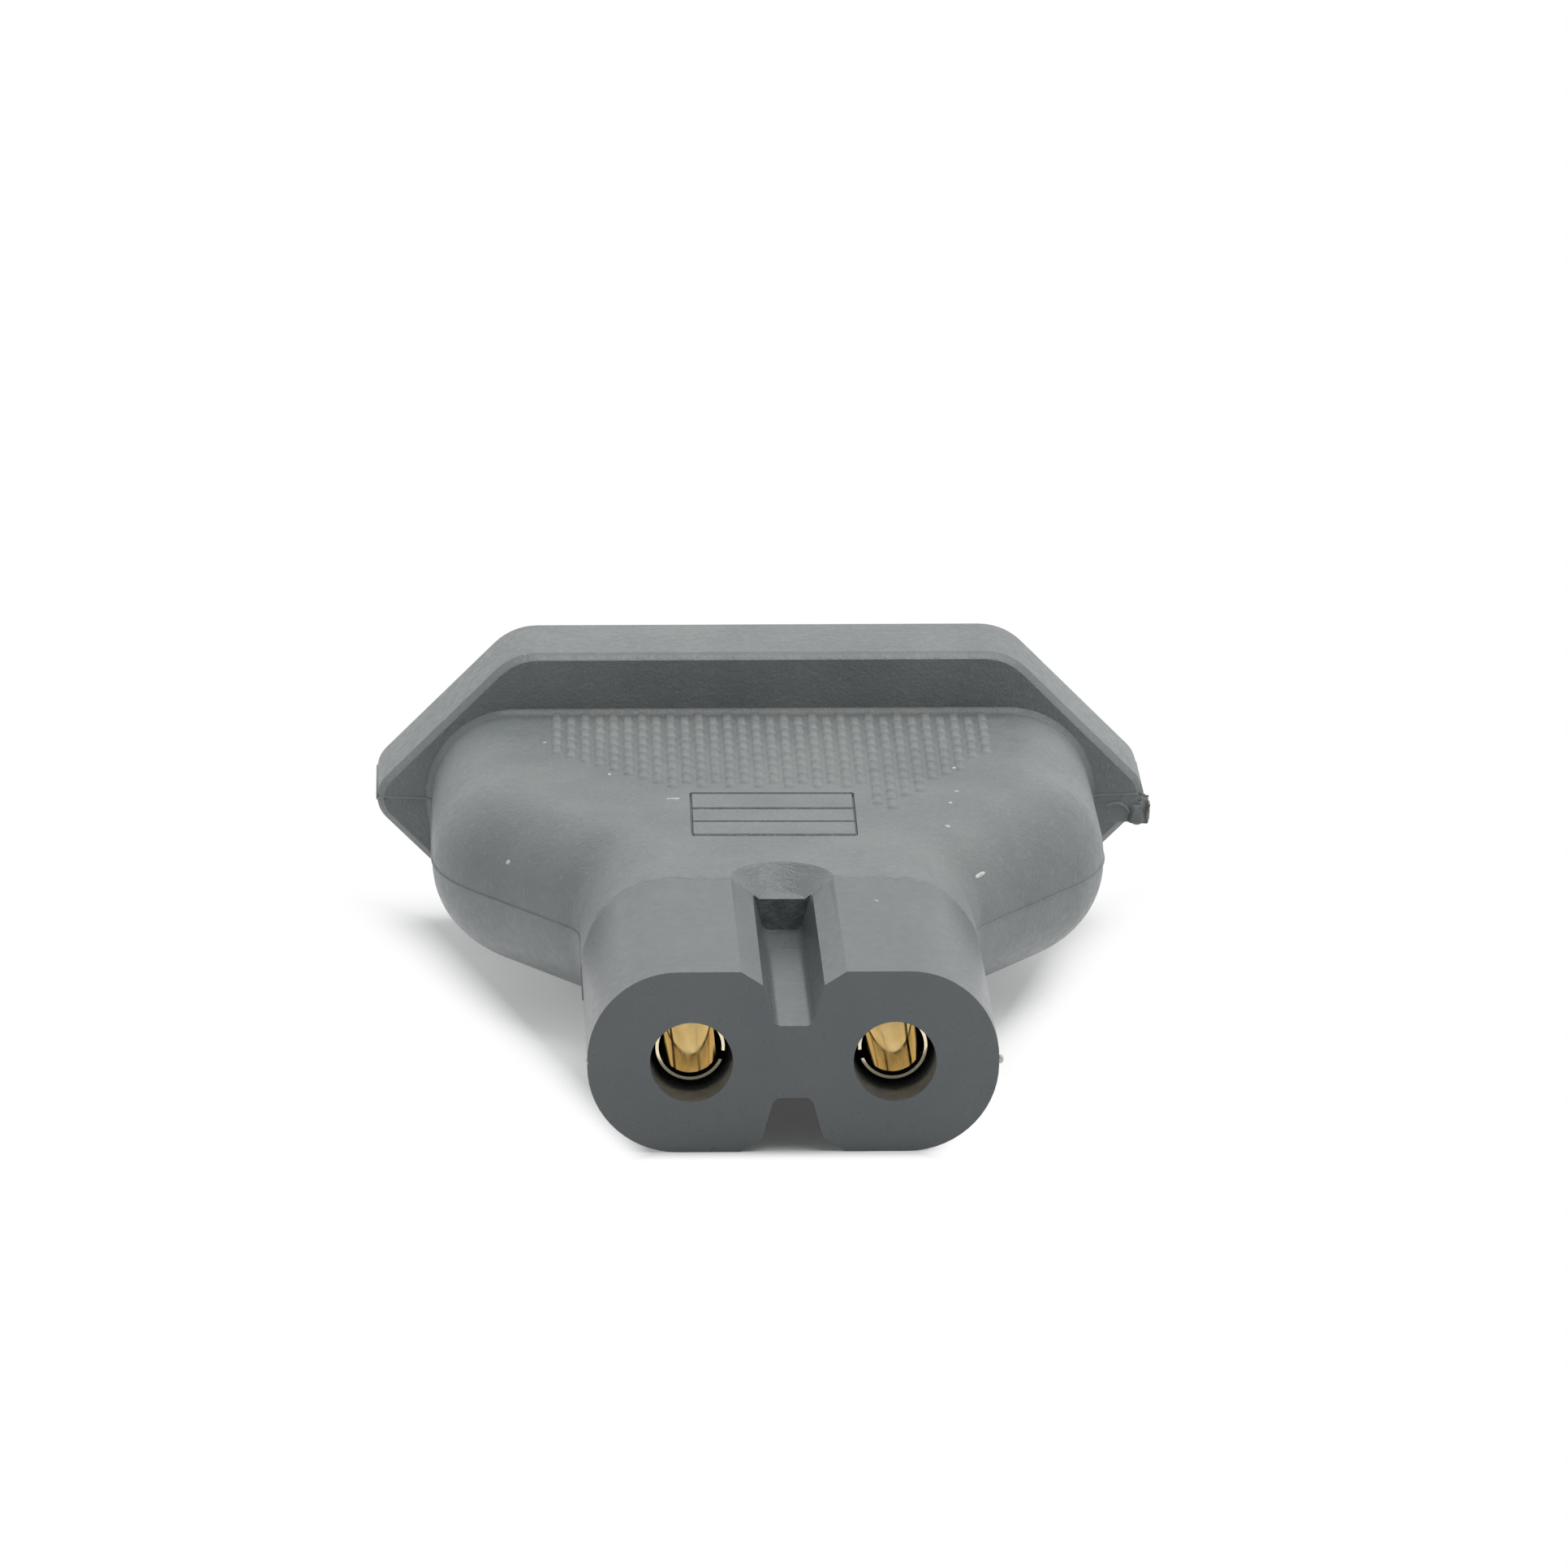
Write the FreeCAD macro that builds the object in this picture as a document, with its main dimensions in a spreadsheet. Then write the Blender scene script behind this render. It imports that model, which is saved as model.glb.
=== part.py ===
import FreeCAD, Part
import math
import os

import Sketcher
from FreeCAD import Placement, Rotation, Vector

# Two-pin mains plug with a figure-eight appliance connector moulded on its back.
# X runs across the pins, +Y is the way the pins go into the wall, +Z is up.
# The origin is the middle of the flat plug face, and the nose points to -Y.

doc = FreeCAD.newDocument("figure_eight_adapter")

SIZES = {
    # flat six-sided flange that covers the wall socket
    "flange_width": "35.3",
    "flange_height": "13.7",
    "flange_thickness": "5.2",
    "flange_crown_radius": "2.8",
    "flange_side_radius": "1.4",
    "flange_edge_chamfer": "0.3",
    "flange_root_chamfer": "0.25",
    # grip and nose, one flat moulding with rounded sides
    "nose_to_flange": "38.4",
    "nose_width": "17.4",
    "body_height": "8.0",
    "nose_length": "18.1",
    "nose_root_radius": "2.5",
    "shoulder_length": "8.3",
    "grip_width": "30.3",
    "grip_corner_radius": "8.0",
    "parting_land": "0.3",
    # waist groove above and below the nose
    "groove_mouth_width": "2.6",
    "groove_floor_width": "1.6",
    "groove_floor_gap": "3.2",
    "groove_floor_radius": "0.4",
    "groove_length": "13.3",
    "groove_lip_width": "0.93",
    "groove_lip_depth": "0.6",
    "groove_ledge_depth": "1.0",
    "groove_ledge_radius": "1.0",
    # contact holes in the nose face
    "contact_pitch": "8.6",
    "contact_hole_diameter": "3.52",
    "contact_hole_depth": "12.2",
    # rolled brass contact
    "contact_recess": "2.1",
    "contact_bore_diameter": "2.44",
    "contact_sheet": "0.25",
    "contact_sleeve_length": "9.6",
    "contact_neck_length": "1.8",
    "contact_slit_width": "0.4",
    "contact_slit_turn": "15",
    "contact_flare": "0.12",
    # crimped lead between contact and pin
    "crimp_length": "3.6",
    "conductor_diameter": "1.25",
    "lead_bend_radius": "1.3",
    "lead_straight": "2.2",
    # plug pins, closer together at the tips than at the plug face
    "pin_pitch": "18.6",
    "pin_tip_pitch": "17.5",
    "pin_length": "19.0",
    "pin_diameter": "4.0",
    "pin_tip_length": "3.0",
    "pin_tip_flat": "1.6",
    "pin_nose_length": "0.5",
    "pin_nose_diameter": "3.0",
    "pin_shank_diameter": "2.9",
    "pin_collar_diameter": "4.8",
    "pin_collar_length": "1.2",
    "pin_root_length": "6.4",
    "pin_tail_diameter": "2.4",
    "sleeve_diameter": "3.6",
    "sleeve_length": "10.0",
    "sleeve_root_length": "3.4",
    "pin_relief_diameter": "5.0",
    "pin_relief_depth": "0.4",
    # torn gate stub at one end of the flange
    "gate_width": "1.5",
    "gate_height": "1.3",
    "gate_length": "1.7",
    "gate_foot_width": "1.0",
    "gate_overhang": "0.3",
    "gate_lip_low": "1.17",
    "gate_lip_inset": "0.09",
    "gate_lip_high": "0.52",
    "gate_root_inset": "0.7",
    "gate_root_drop": "0.13",
    # how far cuts run past the surface they open
    "overcut": "1.0",
}

sheet = doc.addObject("Spreadsheet::Sheet", "Sizes")
for row, (alias, number) in enumerate(SIZES.items(), start=1):
    sheet.set(f"A{row}", alias)
    sheet.set(f"B{row}", number)
    sheet.setAlias(f"B{row}", alias)
doc.recompute()

# Places along the part, measured from the plug face
NOSE_FACE = "(Sizes.nose_to_flange + Sizes.flange_thickness)"
NOSE_ROOT = f"({NOSE_FACE} - Sizes.nose_length)"
GRIP_CORNER = f"({NOSE_ROOT} - Sizes.shoulder_length)"
GROOVE_END = f"({NOSE_FACE} - Sizes.groove_length)"
CONTACT_FRONT = f"({NOSE_FACE} - Sizes.contact_recess)"
SLEEVE_END = f"({CONTACT_FRONT} - Sizes.contact_sleeve_length)"
CRIMP_START = f"({SLEEVE_END} - Sizes.contact_neck_length)"
CRIMP_END = f"({CRIMP_START} - Sizes.crimp_length)"
HALF_HEIGHT = "(Sizes.body_height / 2)"
GROOVE_FLOOR = "(Sizes.groove_floor_gap / 2)"
GROOVE_MOUTH = "(Sizes.groove_mouth_width / 2)"
LIP_HALF = f"({GROOVE_MOUTH} + Sizes.groove_lip_width)"

# Sharp end corner of the flange, before its rounding takes it back to the flange width
FLANGE_CORNER = "(Sizes.flange_width / 2 + Sizes.flange_side_radius * (sqrt(2) - 1))"

# Pin axes lean towards each other by this much
PIN_LEAN = "atan((Sizes.pin_pitch - Sizes.pin_tip_pitch) / 2 / Sizes.pin_length)"
PIN_TAIL_END = "(Sizes.pin_root_length + Sizes.crimp_length)"

# Two places closer than this count as one
SAME_PLACE = 0.01

SIDES = {"left": -1, "right": 1}


def value(expression):
    """Number that an expression on the sheet comes to."""
    result = doc.Sizes.evalExpression(expression.replace("Sizes.", ""))
    return float(getattr(result, "Value", result))


def new_body(name):
    """Empty solid body with its own origin planes."""
    return doc.addObject("PartDesign::Body", name)


def new_sketch(body, role, name, out="0"):
    """Sketch on one of the body's origin planes, moved out along the plane's normal."""
    sketch = body.newObject("Sketcher::SketchObject", name)
    plane = next(item for item in body.Origin.OriginFeatures if item.Role == role)
    sketch.AttachmentSupport = [(plane, "")]
    sketch.MapMode = "FlatFace"
    sketch.setExpression("AttachmentOffset.Base.z", out)
    return sketch


def bind(sketch, constraint, expression):
    """Add a constraint whose value follows an expression."""
    index = sketch.addConstraint(constraint)
    sketch.setExpression(f"Constraints[{index}]", expression)


def pin_point(sketch, item, end, across, up):
    """Hold a point of the sketch at two expressions from the sketch origin."""
    bind(sketch, Sketcher.Constraint("DistanceX", -1, 1, item, end, value(across)), across)
    bind(sketch, Sketcher.Constraint("DistanceY", -1, 1, item, end, value(up)), up)


def tangent_points(before, corner, after, radius):
    """Ends and middle of the arc that rounds a corner."""
    back = (before - corner).normalize()
    ahead = (after - corner).normalize()
    half = back.getAngle(ahead) / 2
    reach = radius / math.tan(half)
    middle = corner + (back + ahead).normalize() * (radius / math.sin(half) - radius)
    return corner + back * reach, middle, corner + ahead * reach


def profile(sketch, corners, closed=True):
    """Lines through corners (across, up, rounding), with a tangent arc at each rounded corner."""
    points = [Vector(value(across), value(up), 0) for across, up, _ in corners]
    count = len(points)
    ends = []
    for index, (_, _, rounding) in enumerate(corners):
        if rounding:
            after = points[(index + 1) % count]
            ends.append(tangent_points(points[index - 1], points[index], after, value(rounding)))
        else:
            ends.append((points[index], None, points[index]))
    line_count = count if closed else count - 1
    lines = []
    for index in range(line_count):
        segment = Part.LineSegment(ends[index][2], ends[(index + 1) % count][0])
        lines.append(sketch.addGeometry(segment, False))
    for index, (across, up, rounding) in enumerate(corners):
        if not closed and index == 0:
            pin_point(sketch, lines[0], 1, across, up)
            continue
        if not closed and index == count - 1:
            pin_point(sketch, lines[-1], 2, across, up)
            continue
        arriving = lines[index - 1]
        leaving = lines[index]
        if not rounding:
            sketch.addConstraint(Sketcher.Constraint("Coincident", arriving, 2, leaving, 1))
            pin_point(sketch, leaving, 1, across, up)
            continue
        arc = sketch.addGeometry(Part.Arc(*ends[index]), False)
        starts_here = sketch.getPoint(arc, 1).distanceToPoint(ends[index][0]) < SAME_PLACE
        first, last = (1, 2) if starts_here else (2, 1)
        sketch.addConstraint(Sketcher.Constraint("Tangent", arriving, 2, arc, first))
        sketch.addConstraint(Sketcher.Constraint("Tangent", arc, last, leaving, 1))
        bind(sketch, Sketcher.Constraint("Radius", arc, value(rounding)), rounding)
        corner = sketch.addGeometry(Part.Point(points[index]), True)
        sketch.addConstraint(Sketcher.Constraint("PointOnObject", corner, 1, arriving))
        sketch.addConstraint(Sketcher.Constraint("PointOnObject", corner, 1, leaving))
        pin_point(sketch, corner, 1, across, up)


def circle(sketch, across, up, diameter):
    """Circle held by its middle and diameter."""
    middle = Vector(value(across), value(up), 0)
    ring = sketch.addGeometry(Part.Circle(middle, Vector(0, 0, 1), value(diameter) / 2), False)
    pin_point(sketch, ring, 3, across, up)
    bind(sketch, Sketcher.Constraint("Diameter", ring, value(diameter)), diameter)


def pad(body, sketch, name, length, both_ways=False, reverse=False):
    """Material along the sketch normal."""
    feature = body.newObject("PartDesign::Pad", name)
    feature.Profile = sketch
    feature.setExpression("Length", length)
    feature.Reversed = reverse
    if both_ways:
        feature.SideType = "Symmetric"
    return feature


def pocket(body, sketch, name, length, both_ways=False, reverse=False):
    """Cut against the sketch normal."""
    feature = body.newObject("PartDesign::Pocket", name)
    feature.Profile = sketch
    feature.setExpression("Length", length)
    feature.Reversed = reverse
    if both_ways:
        feature.SideType = "Symmetric"
    return feature


def turned(body, sketch, name, kind="PartDesign::Revolution"):
    """Full turn of the sketch about its vertical axis."""
    feature = body.newObject(kind, name)
    feature.Profile = sketch
    feature.ReferenceAxis = (sketch, ["V_Axis"])
    feature.Angle = 360
    return feature


def rounded(body, base, name, edges, radius):
    """Fillet on the named edges of a feature."""
    feature = body.newObject("PartDesign::Fillet", name)
    feature.Base = (base, edges)
    feature.setExpression("Radius", radius)
    return feature


def bevelled(body, base, name, edges, size):
    """Even chamfer on the named edges of a feature."""
    feature = body.newObject("PartDesign::Chamfer", name)
    feature.Base = (base, edges)
    feature.setExpression("Size", size)
    return feature


def edges_where(feature, test):
    """Names of a feature's edges whose box passes a test."""
    names = []
    for index, edge in enumerate(feature.Shape.Edges, start=1):
        if test(edge.BoundBox):
            names.append(f"Edge{index}")
    return names


def near(first, second):
    """True where two places count as one."""
    return abs(first - second) < SAME_PLACE


def mirrored_loop(corners):
    """Closed loop of corners from its right-hand half, copied to the left in reverse."""
    left = [(f"-{across}", up, rounding) for across, up, rounding in reversed(corners)]
    return corners + left


# Grip and nose: one plan outline with both side edges rounded over
def build_grip(body):
    """Flat body from the nose face into the flange, rounded down both sides."""
    plan = new_sketch(body, "XY_Plane", "grip_plan")
    nose_half = "(Sizes.nose_width / 2)"
    grip_half = "(Sizes.grip_width / 2)"
    profile(plan, mirrored_loop([
        (nose_half, f"-{NOSE_FACE}", None),
        (nose_half, f"-{NOSE_ROOT}", "Sizes.nose_root_radius"),
        (grip_half, f"-{GRIP_CORNER}", "Sizes.grip_corner_radius"),
        (grip_half, "-Sizes.flange_thickness / 2", None),
    ]))
    slab = pad(body, plan, "grip_slab", "Sizes.body_height", both_ways=True)
    doc.recompute()
    front = -value(NOSE_FACE)
    half_height = value(HALF_HEIGHT)

    def runs_along_side(box):
        on_face = near(abs(box.ZMin), half_height) and near(box.ZMin, box.ZMax)
        return on_face and box.YLength > SAME_PLACE and box.YMax > front

    rounded(body, slab, "side_rounding", edges_where(slab, runs_along_side),
            f"{HALF_HEIGHT} - Sizes.parting_land / 2")
    doc.recompute()


# Flange: six-sided plate behind the grip
def build_flange(body):
    """Plate with sloping ends, a soft root round the grip and a shallow relief round each pin."""
    face = new_sketch(body, "XZ_Plane", "flange_face")
    half_height = "(Sizes.flange_height / 2)"
    crown_half = f"({FLANGE_CORNER} - {half_height})"
    profile(face, mirrored_loop([
        (crown_half, f"-{half_height}", "Sizes.flange_crown_radius"),
        (FLANGE_CORNER, "0", "Sizes.flange_side_radius"),
        (crown_half, half_height, "Sizes.flange_crown_radius"),
    ]))
    plate = pad(body, face, "flange_plate", "Sizes.flange_thickness")
    doc.recompute()
    front = -value("Sizes.flange_thickness")
    grip_reach_x = value("Sizes.grip_width / 2") + SAME_PLACE
    grip_reach_z = value(HALF_HEIGHT) + SAME_PLACE

    def on_grip(box):
        across = max(abs(box.XMin), abs(box.XMax))
        up = max(abs(box.ZMin), abs(box.ZMax))
        return across < grip_reach_x and up < grip_reach_z

    def on_rim(box):
        on_face = near(box.YMin, front) or near(box.YMin, 0)
        return near(box.YMin, box.YMax) and on_face and not on_grip(box)

    def on_root(box):
        return near(box.YMin, front) and near(box.YMax, front) and on_grip(box)

    rim = bevelled(body, plate, "flange_rim", edges_where(plate, on_rim), "Sizes.flange_edge_chamfer")
    doc.recompute()
    bevelled(body, rim, "flange_root", edges_where(rim, on_root), "Sizes.flange_root_chamfer")
    relief = new_sketch(body, "XZ_Plane", "pin_relief_face")
    for sign in SIDES.values():
        circle(relief, f"{sign} * Sizes.pin_pitch / 2", "0", "Sizes.pin_relief_diameter")
    pocket(body, relief, "pin_reliefs", "Sizes.pin_relief_depth", reverse=True)
    doc.recompute()


# Nose: contact holes, and a waist groove above and below
def build_nose(body):
    """Holes, and drafted grooves that end in a round sloping ledge, cut in from the nose face."""
    holes = new_sketch(body, "XZ_Plane", "contact_hole_face", NOSE_FACE)
    for sign in SIDES.values():
        circle(holes, f"{sign} * Sizes.contact_pitch / 2", "0", "Sizes.contact_hole_diameter")
    pocket(body, holes, "contact_holes", "Sizes.contact_hole_depth")
    section = new_sketch(body, "XZ_Plane", "groove_section", NOSE_FACE)
    lip_foot = f"({HALF_HEIGHT} - Sizes.groove_lip_depth)"
    for sign in (1, -1):
        profile(section, mirrored_loop([
            ("Sizes.groove_floor_width / 2", f"{sign} * {GROOVE_FLOOR}", "Sizes.groove_floor_radius"),
            (GROOVE_MOUTH, f"{sign} * {lip_foot}", None),
            (LIP_HALF, f"{sign} * {HALF_HEIGHT}", None),
            (LIP_HALF, f"{sign} * ({HALF_HEIGHT} + Sizes.overcut)", None),
        ]))
    pocket(body, section, "waist_grooves", "Sizes.groove_length")
    ledge = new_sketch(body, "YZ_Plane", "groove_ledge")
    ledge.setExpression("AttachmentOffset.Base.x", f"-{GROOVE_END}")
    for sign in (1, -1):
        profile(ledge, [
            ("0", f"{sign} * ({HALF_HEIGHT} - Sizes.groove_ledge_depth)", None),
            ("Sizes.groove_ledge_radius", f"{sign} * ({HALF_HEIGHT} - Sizes.groove_ledge_depth)", None),
            (LIP_HALF, f"{sign} * {HALF_HEIGHT}", None),
            (LIP_HALF, f"{sign} * ({HALF_HEIGHT} + Sizes.overcut)", None),
            ("0", f"{sign} * ({HALF_HEIGHT} + Sizes.overcut)", None),
        ])
    turned(body, ledge, "groove_ledges", "PartDesign::Groove")
    doc.recompute()


# Gate stub: the torn lump left under one end of the flange
def build_gate(body):
    """Uneven lump that squares off the lower right corner of the flange front."""
    face = new_sketch(body, "XZ_Plane", "gate_face", "Sizes.flange_thickness - Sizes.gate_length")
    tip = "(Sizes.flange_width / 2)"
    profile(face, [
        (f"{tip} - Sizes.gate_width", "0", None),
        (f"{tip} - Sizes.gate_width", "-Sizes.gate_height", None),
        (f"{tip} - Sizes.gate_width + Sizes.gate_foot_width", "-Sizes.gate_height", None),
        (f"{tip} + Sizes.gate_overhang", "-Sizes.gate_lip_low", None),
        (f"{tip} + Sizes.gate_overhang - Sizes.gate_lip_inset", "-Sizes.gate_lip_high", None),
        (f"{tip} - Sizes.gate_root_inset", "-Sizes.gate_root_drop", None),
    ])
    pad(body, face, "gate_stub", "Sizes.gate_length")
    doc.recompute()


# Contacts: split brass sleeves that narrow into a crimp barrel
def build_contact(side, sign):
    """Rolled sleeve with a slit towards the middle of the nose and a barrel behind it."""
    body = new_body(f"{side}_contact")
    wall = new_sketch(body, "XY_Plane", f"{side}_contact_wall")
    bore = "(Sizes.contact_bore_diameter / 2)"
    barrel = "(Sizes.conductor_diameter / 2)"
    sheet_out = "Sizes.contact_sheet"
    profile(wall, [
        (f"{bore} + Sizes.contact_flare", f"-{CONTACT_FRONT}", None),
        (f"{bore} + {sheet_out}", f"-{CONTACT_FRONT}", None),
        (f"{bore} + {sheet_out}", f"-{SLEEVE_END}", None),
        (f"{barrel} + {sheet_out}", f"-{CRIMP_START}", None),
        (f"{barrel} + {sheet_out}", f"-{CRIMP_END}", None),
        (barrel, f"-{CRIMP_END}", None),
        (barrel, f"-{CRIMP_START}", None),
        (bore, f"-{SLEEVE_END}", None),
        (bore, f"-{CONTACT_FRONT} + Sizes.contact_flare * 2", None),
    ])
    turned(body, wall, f"{side}_contact_shell")
    slit = new_sketch(body, "XY_Plane", f"{side}_contact_slit")
    past_wall = f"({bore} + Sizes.overcut)"
    profile(slit, [
        ("0", f"-{CONTACT_FRONT} - Sizes.overcut", None),
        (f"-{past_wall}", f"-{CONTACT_FRONT} - Sizes.overcut", None),
        (f"-{past_wall}", f"-{CRIMP_START}", None),
        ("0", f"-{CRIMP_START}", None),
    ])
    pocket(body, slit, f"{side}_contact_gap", "Sizes.contact_slit_width", both_ways=True)
    body.Placement = Placement(Vector(0, 0, 0), Rotation(Vector(0, 1, 0), 1))
    body.setExpression("Placement.Base.x", f"{sign} * Sizes.contact_pitch / 2")
    turn = "-Sizes.contact_slit_turn" if sign > 0 else "180 + Sizes.contact_slit_turn"
    body.setExpression("Placement.Rotation.Angle", turn)
    return body


def lean_with_pin(body, sign):
    """Set a piece that was made on the Y axis onto the axis of its pin."""
    body.Placement = Placement(Vector(0, 0, 0), Rotation(Vector(0, 0, 1), 1))
    body.setExpression("Placement.Base.x", f"{sign} * Sizes.pin_pitch / 2")
    body.setExpression("Placement.Rotation.Angle", f"{sign} * {PIN_LEAN}")


# Plug pins: bare round tip, thinner shank under the sleeve, collar and crimp tail
def build_pin(side, sign):
    """Turned brass pin from its domed tip to the drilled tail that takes the lead."""
    body = new_body(f"{side}_plug_pin")
    half = new_sketch(body, "XY_Plane", f"{side}_pin_profile")
    tip = "(Sizes.pin_diameter / 2)"
    shank = "(Sizes.pin_shank_diameter / 2)"
    collar = "(Sizes.pin_collar_diameter / 2)"
    tail = "(Sizes.pin_tail_diameter / 2)"
    bore = "(Sizes.conductor_diameter / 2)"
    collar_front = "(Sizes.sleeve_root_length + Sizes.pin_collar_length)"
    profile(half, [
        ("0", "Sizes.pin_length", None),
        ("Sizes.pin_tip_flat / 2", "Sizes.pin_length", None),
        ("Sizes.pin_nose_diameter / 2", "Sizes.pin_length - Sizes.pin_nose_length", None),
        (tip, "Sizes.pin_length - Sizes.pin_tip_length", None),
        (tip, "Sizes.sleeve_length", None),
        (shank, "Sizes.sleeve_length", None),
        (shank, "-Sizes.sleeve_root_length", None),
        (collar, "-Sizes.sleeve_root_length", None),
        (collar, f"-{collar_front}", None),
        (tail, f"-{collar_front}", None),
        (tail, f"-{PIN_TAIL_END}", None),
        (bore, f"-{PIN_TAIL_END}", None),
        (bore, "-Sizes.pin_root_length", None),
        ("0", "-Sizes.pin_root_length", None),
    ])
    turned(body, half, f"{side}_pin_turning")
    lean_with_pin(body, sign)
    return body


# Pin sleeves: insulation on the root of each pin
def build_sleeve(side, sign):
    """Plain tube on the shank, flush with the moulding's collar seat and the bare tip."""
    body = new_body(f"{side}_pin_sleeve")
    ring = new_sketch(body, "XZ_Plane", f"{side}_sleeve_ring", "Sizes.sleeve_root_length")
    circle(ring, "0", "0", "Sizes.sleeve_diameter")
    circle(ring, "0", "0", "Sizes.pin_shank_diameter")
    pad(body, ring, f"{side}_sleeve_tube", "Sizes.sleeve_root_length + Sizes.sleeve_length", reverse=True)
    lean_with_pin(body, sign)
    return body


def on_pin_axis(sign, behind):
    """Point on a pin's axis at a distance behind the plug face."""
    across = f"{sign} * (Sizes.pin_pitch / 2 + {behind} * sin({PIN_LEAN}))"
    return across, f"-{behind} * cos({PIN_LEAN})"


# Leads: a short wire bent from each contact out to its pin
def build_lead(side, sign):
    """Round wire from the crimp barrel of a contact into the drilled tail of its pin."""
    body = new_body(f"{side}_lead")
    contact_x = f"{sign} * Sizes.contact_pitch / 2"
    route = new_sketch(body, "XY_Plane", f"{side}_lead_route")
    pin_x, pin_y = on_pin_axis(sign, "Sizes.pin_root_length")
    bend_x, bend_y = on_pin_axis(sign, f"({PIN_TAIL_END} + Sizes.lead_straight)")
    profile(route, [
        (contact_x, f"-{CRIMP_START}", None),
        (contact_x, f"-({CRIMP_END} - Sizes.lead_straight)", "Sizes.lead_bend_radius"),
        (bend_x, bend_y, "Sizes.lead_bend_radius"),
        (pin_x, pin_y, None),
    ], closed=False)
    section = new_sketch(body, "XZ_Plane", f"{side}_lead_section", CRIMP_START)
    circle(section, contact_x, "0", "Sizes.conductor_diameter")
    wire = body.newObject("PartDesign::AdditivePipe", f"{side}_lead_wire")
    wire.Profile = section
    wire.Spine = route
    return body


moulding = new_body("moulding_blank")
build_grip(moulding)
build_flange(moulding)
build_nose(moulding)
build_gate(moulding)

nodes = []
for side, sign in SIDES.items():
    nodes.append(build_contact(side, sign))
    nodes.append(build_lead(side, sign))
    nodes.append(build_pin(side, sign))
    nodes.append(build_sleeve(side, sign))
doc.recompute()

# The plastic flows round everything that is set in the mould
inserts = doc.addObject("Part::MultiFuse", "inserts")
inserts.Shapes = list(nodes)
moulded_body = doc.addObject("Part::Cut", "moulded_body")
moulded_body.Base = moulding
moulded_body.Tool = inserts
nodes.insert(0, moulded_body)
doc.recompute()

for item in doc.Objects:
    if "Invalid" in item.State or "Error" in item.State:
        raise RuntimeError(f"{item.Name} did not build: {item.State}")
for node in nodes:
    node.Label = node.Name
    if node.Shape.isNull() or not node.Shape.isValid():
        raise RuntimeError(f"{node.Label} has no valid shape")

os.makedirs("parts", exist_ok=True)
for node in nodes:
    node.Shape.exportStep(f"parts/{node.Label}.step")
    print(node.Label, len(node.Shape.Solids), round(node.Shape.Volume, 2))
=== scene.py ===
import math

import bpy
from mathutils import Matrix, Vector


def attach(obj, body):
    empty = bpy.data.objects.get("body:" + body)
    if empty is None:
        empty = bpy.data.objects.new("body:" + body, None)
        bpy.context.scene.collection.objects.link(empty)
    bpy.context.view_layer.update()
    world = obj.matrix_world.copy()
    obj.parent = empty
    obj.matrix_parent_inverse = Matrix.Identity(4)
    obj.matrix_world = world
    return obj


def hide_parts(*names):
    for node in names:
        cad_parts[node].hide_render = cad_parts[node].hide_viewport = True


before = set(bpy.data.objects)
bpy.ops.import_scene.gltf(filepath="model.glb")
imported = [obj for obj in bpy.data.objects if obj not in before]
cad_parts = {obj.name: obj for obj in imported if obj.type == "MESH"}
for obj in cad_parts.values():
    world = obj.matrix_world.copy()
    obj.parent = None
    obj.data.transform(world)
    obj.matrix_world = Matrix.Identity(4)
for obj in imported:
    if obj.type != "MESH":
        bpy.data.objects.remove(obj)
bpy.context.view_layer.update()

# Sizes of the moulded adapter, in metres
MM = 0.001
NOSE_FACE_Y = -43.6 * MM
NOSE_HALF_WIDTH = 8.7 * MM
NOSE_BOTTOM_Z = -4.0 * MM
TOP_Z = 4.0 * MM
FLANGE_FRONT_Y = -5.2 * MM
FLANGE_BOTTOM_Z = -6.85 * MM
FLANGE_CHAMFER = 0.3 * MM
FLANGE_SLANT = 0.97
FLANGE_RIM_REACH = 17.05 * MM
FLANGE_RIM_Z = 6.3 * MM

# Grip studs: staggered columns of small mounds on the flat faces of the grip
STUD_WIDTH = 0.58 * MM
STUD_LENGTH = 1.26 * MM
STUD_HEIGHT = 0.1 * MM
STUD_SINK = 0.03 * MM
STUD_CROWN_WIDTH = 0.42
STUD_CROWN_LENGTH = 0.78
STUD_COLUMN_STEP = 0.65 * MM
STUD_ROW_STEP = 1.3 * MM
STUD_COLUMNS = 31
STUD_ROWS = 13
STUD_FIELD_LEFT_X = -9.5 * MM
STUD_FIELD_MIDDLE = (0, -12 * MM, 0)
STUD_FIELD_BACK_Y = -5.95 * MM

# Side edges of the stud field, each from its back end to its front end
STUD_EDGE_LEFT = ((-9.6 * MM, -11.9 * MM), (-3.7 * MM, -18.6 * MM))
STUD_EDGE_RIGHT = ((10.0 * MM, -12.4 * MM), (5.2 * MM, -20.7 * MM))

# The mould insert that carries the studs and the label window sits a little askew
INSERT_TURN = math.radians(-0.87)

# Bare label window: a ruled frame sunk into the top of the grip
LABEL_LEFT_X = -3.66 * MM
LABEL_RIGHT_X = 3.58 * MM
LABEL_LINES_Y = [-24.1 * MM, -22.05 * MM, -20.1 * MM, -17.8 * MM]
LABEL_LINES_WIDTH = [0.62 * MM, 0.34 * MM, 0.5 * MM, 0.46 * MM]
LABEL_SIDE_WIDTH = 0.18 * MM
LABEL_LINE_DEPTH = 0.17 * MM
LABEL_LINE_FLOOR = 0.25

# Flash left along the parting plane of the mould
BEAD_RADIUS = 0.06 * MM
BEAD_END_GAP = 0.02 * MM
BEAD_SIDE_GAP = 0.05 * MM

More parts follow.
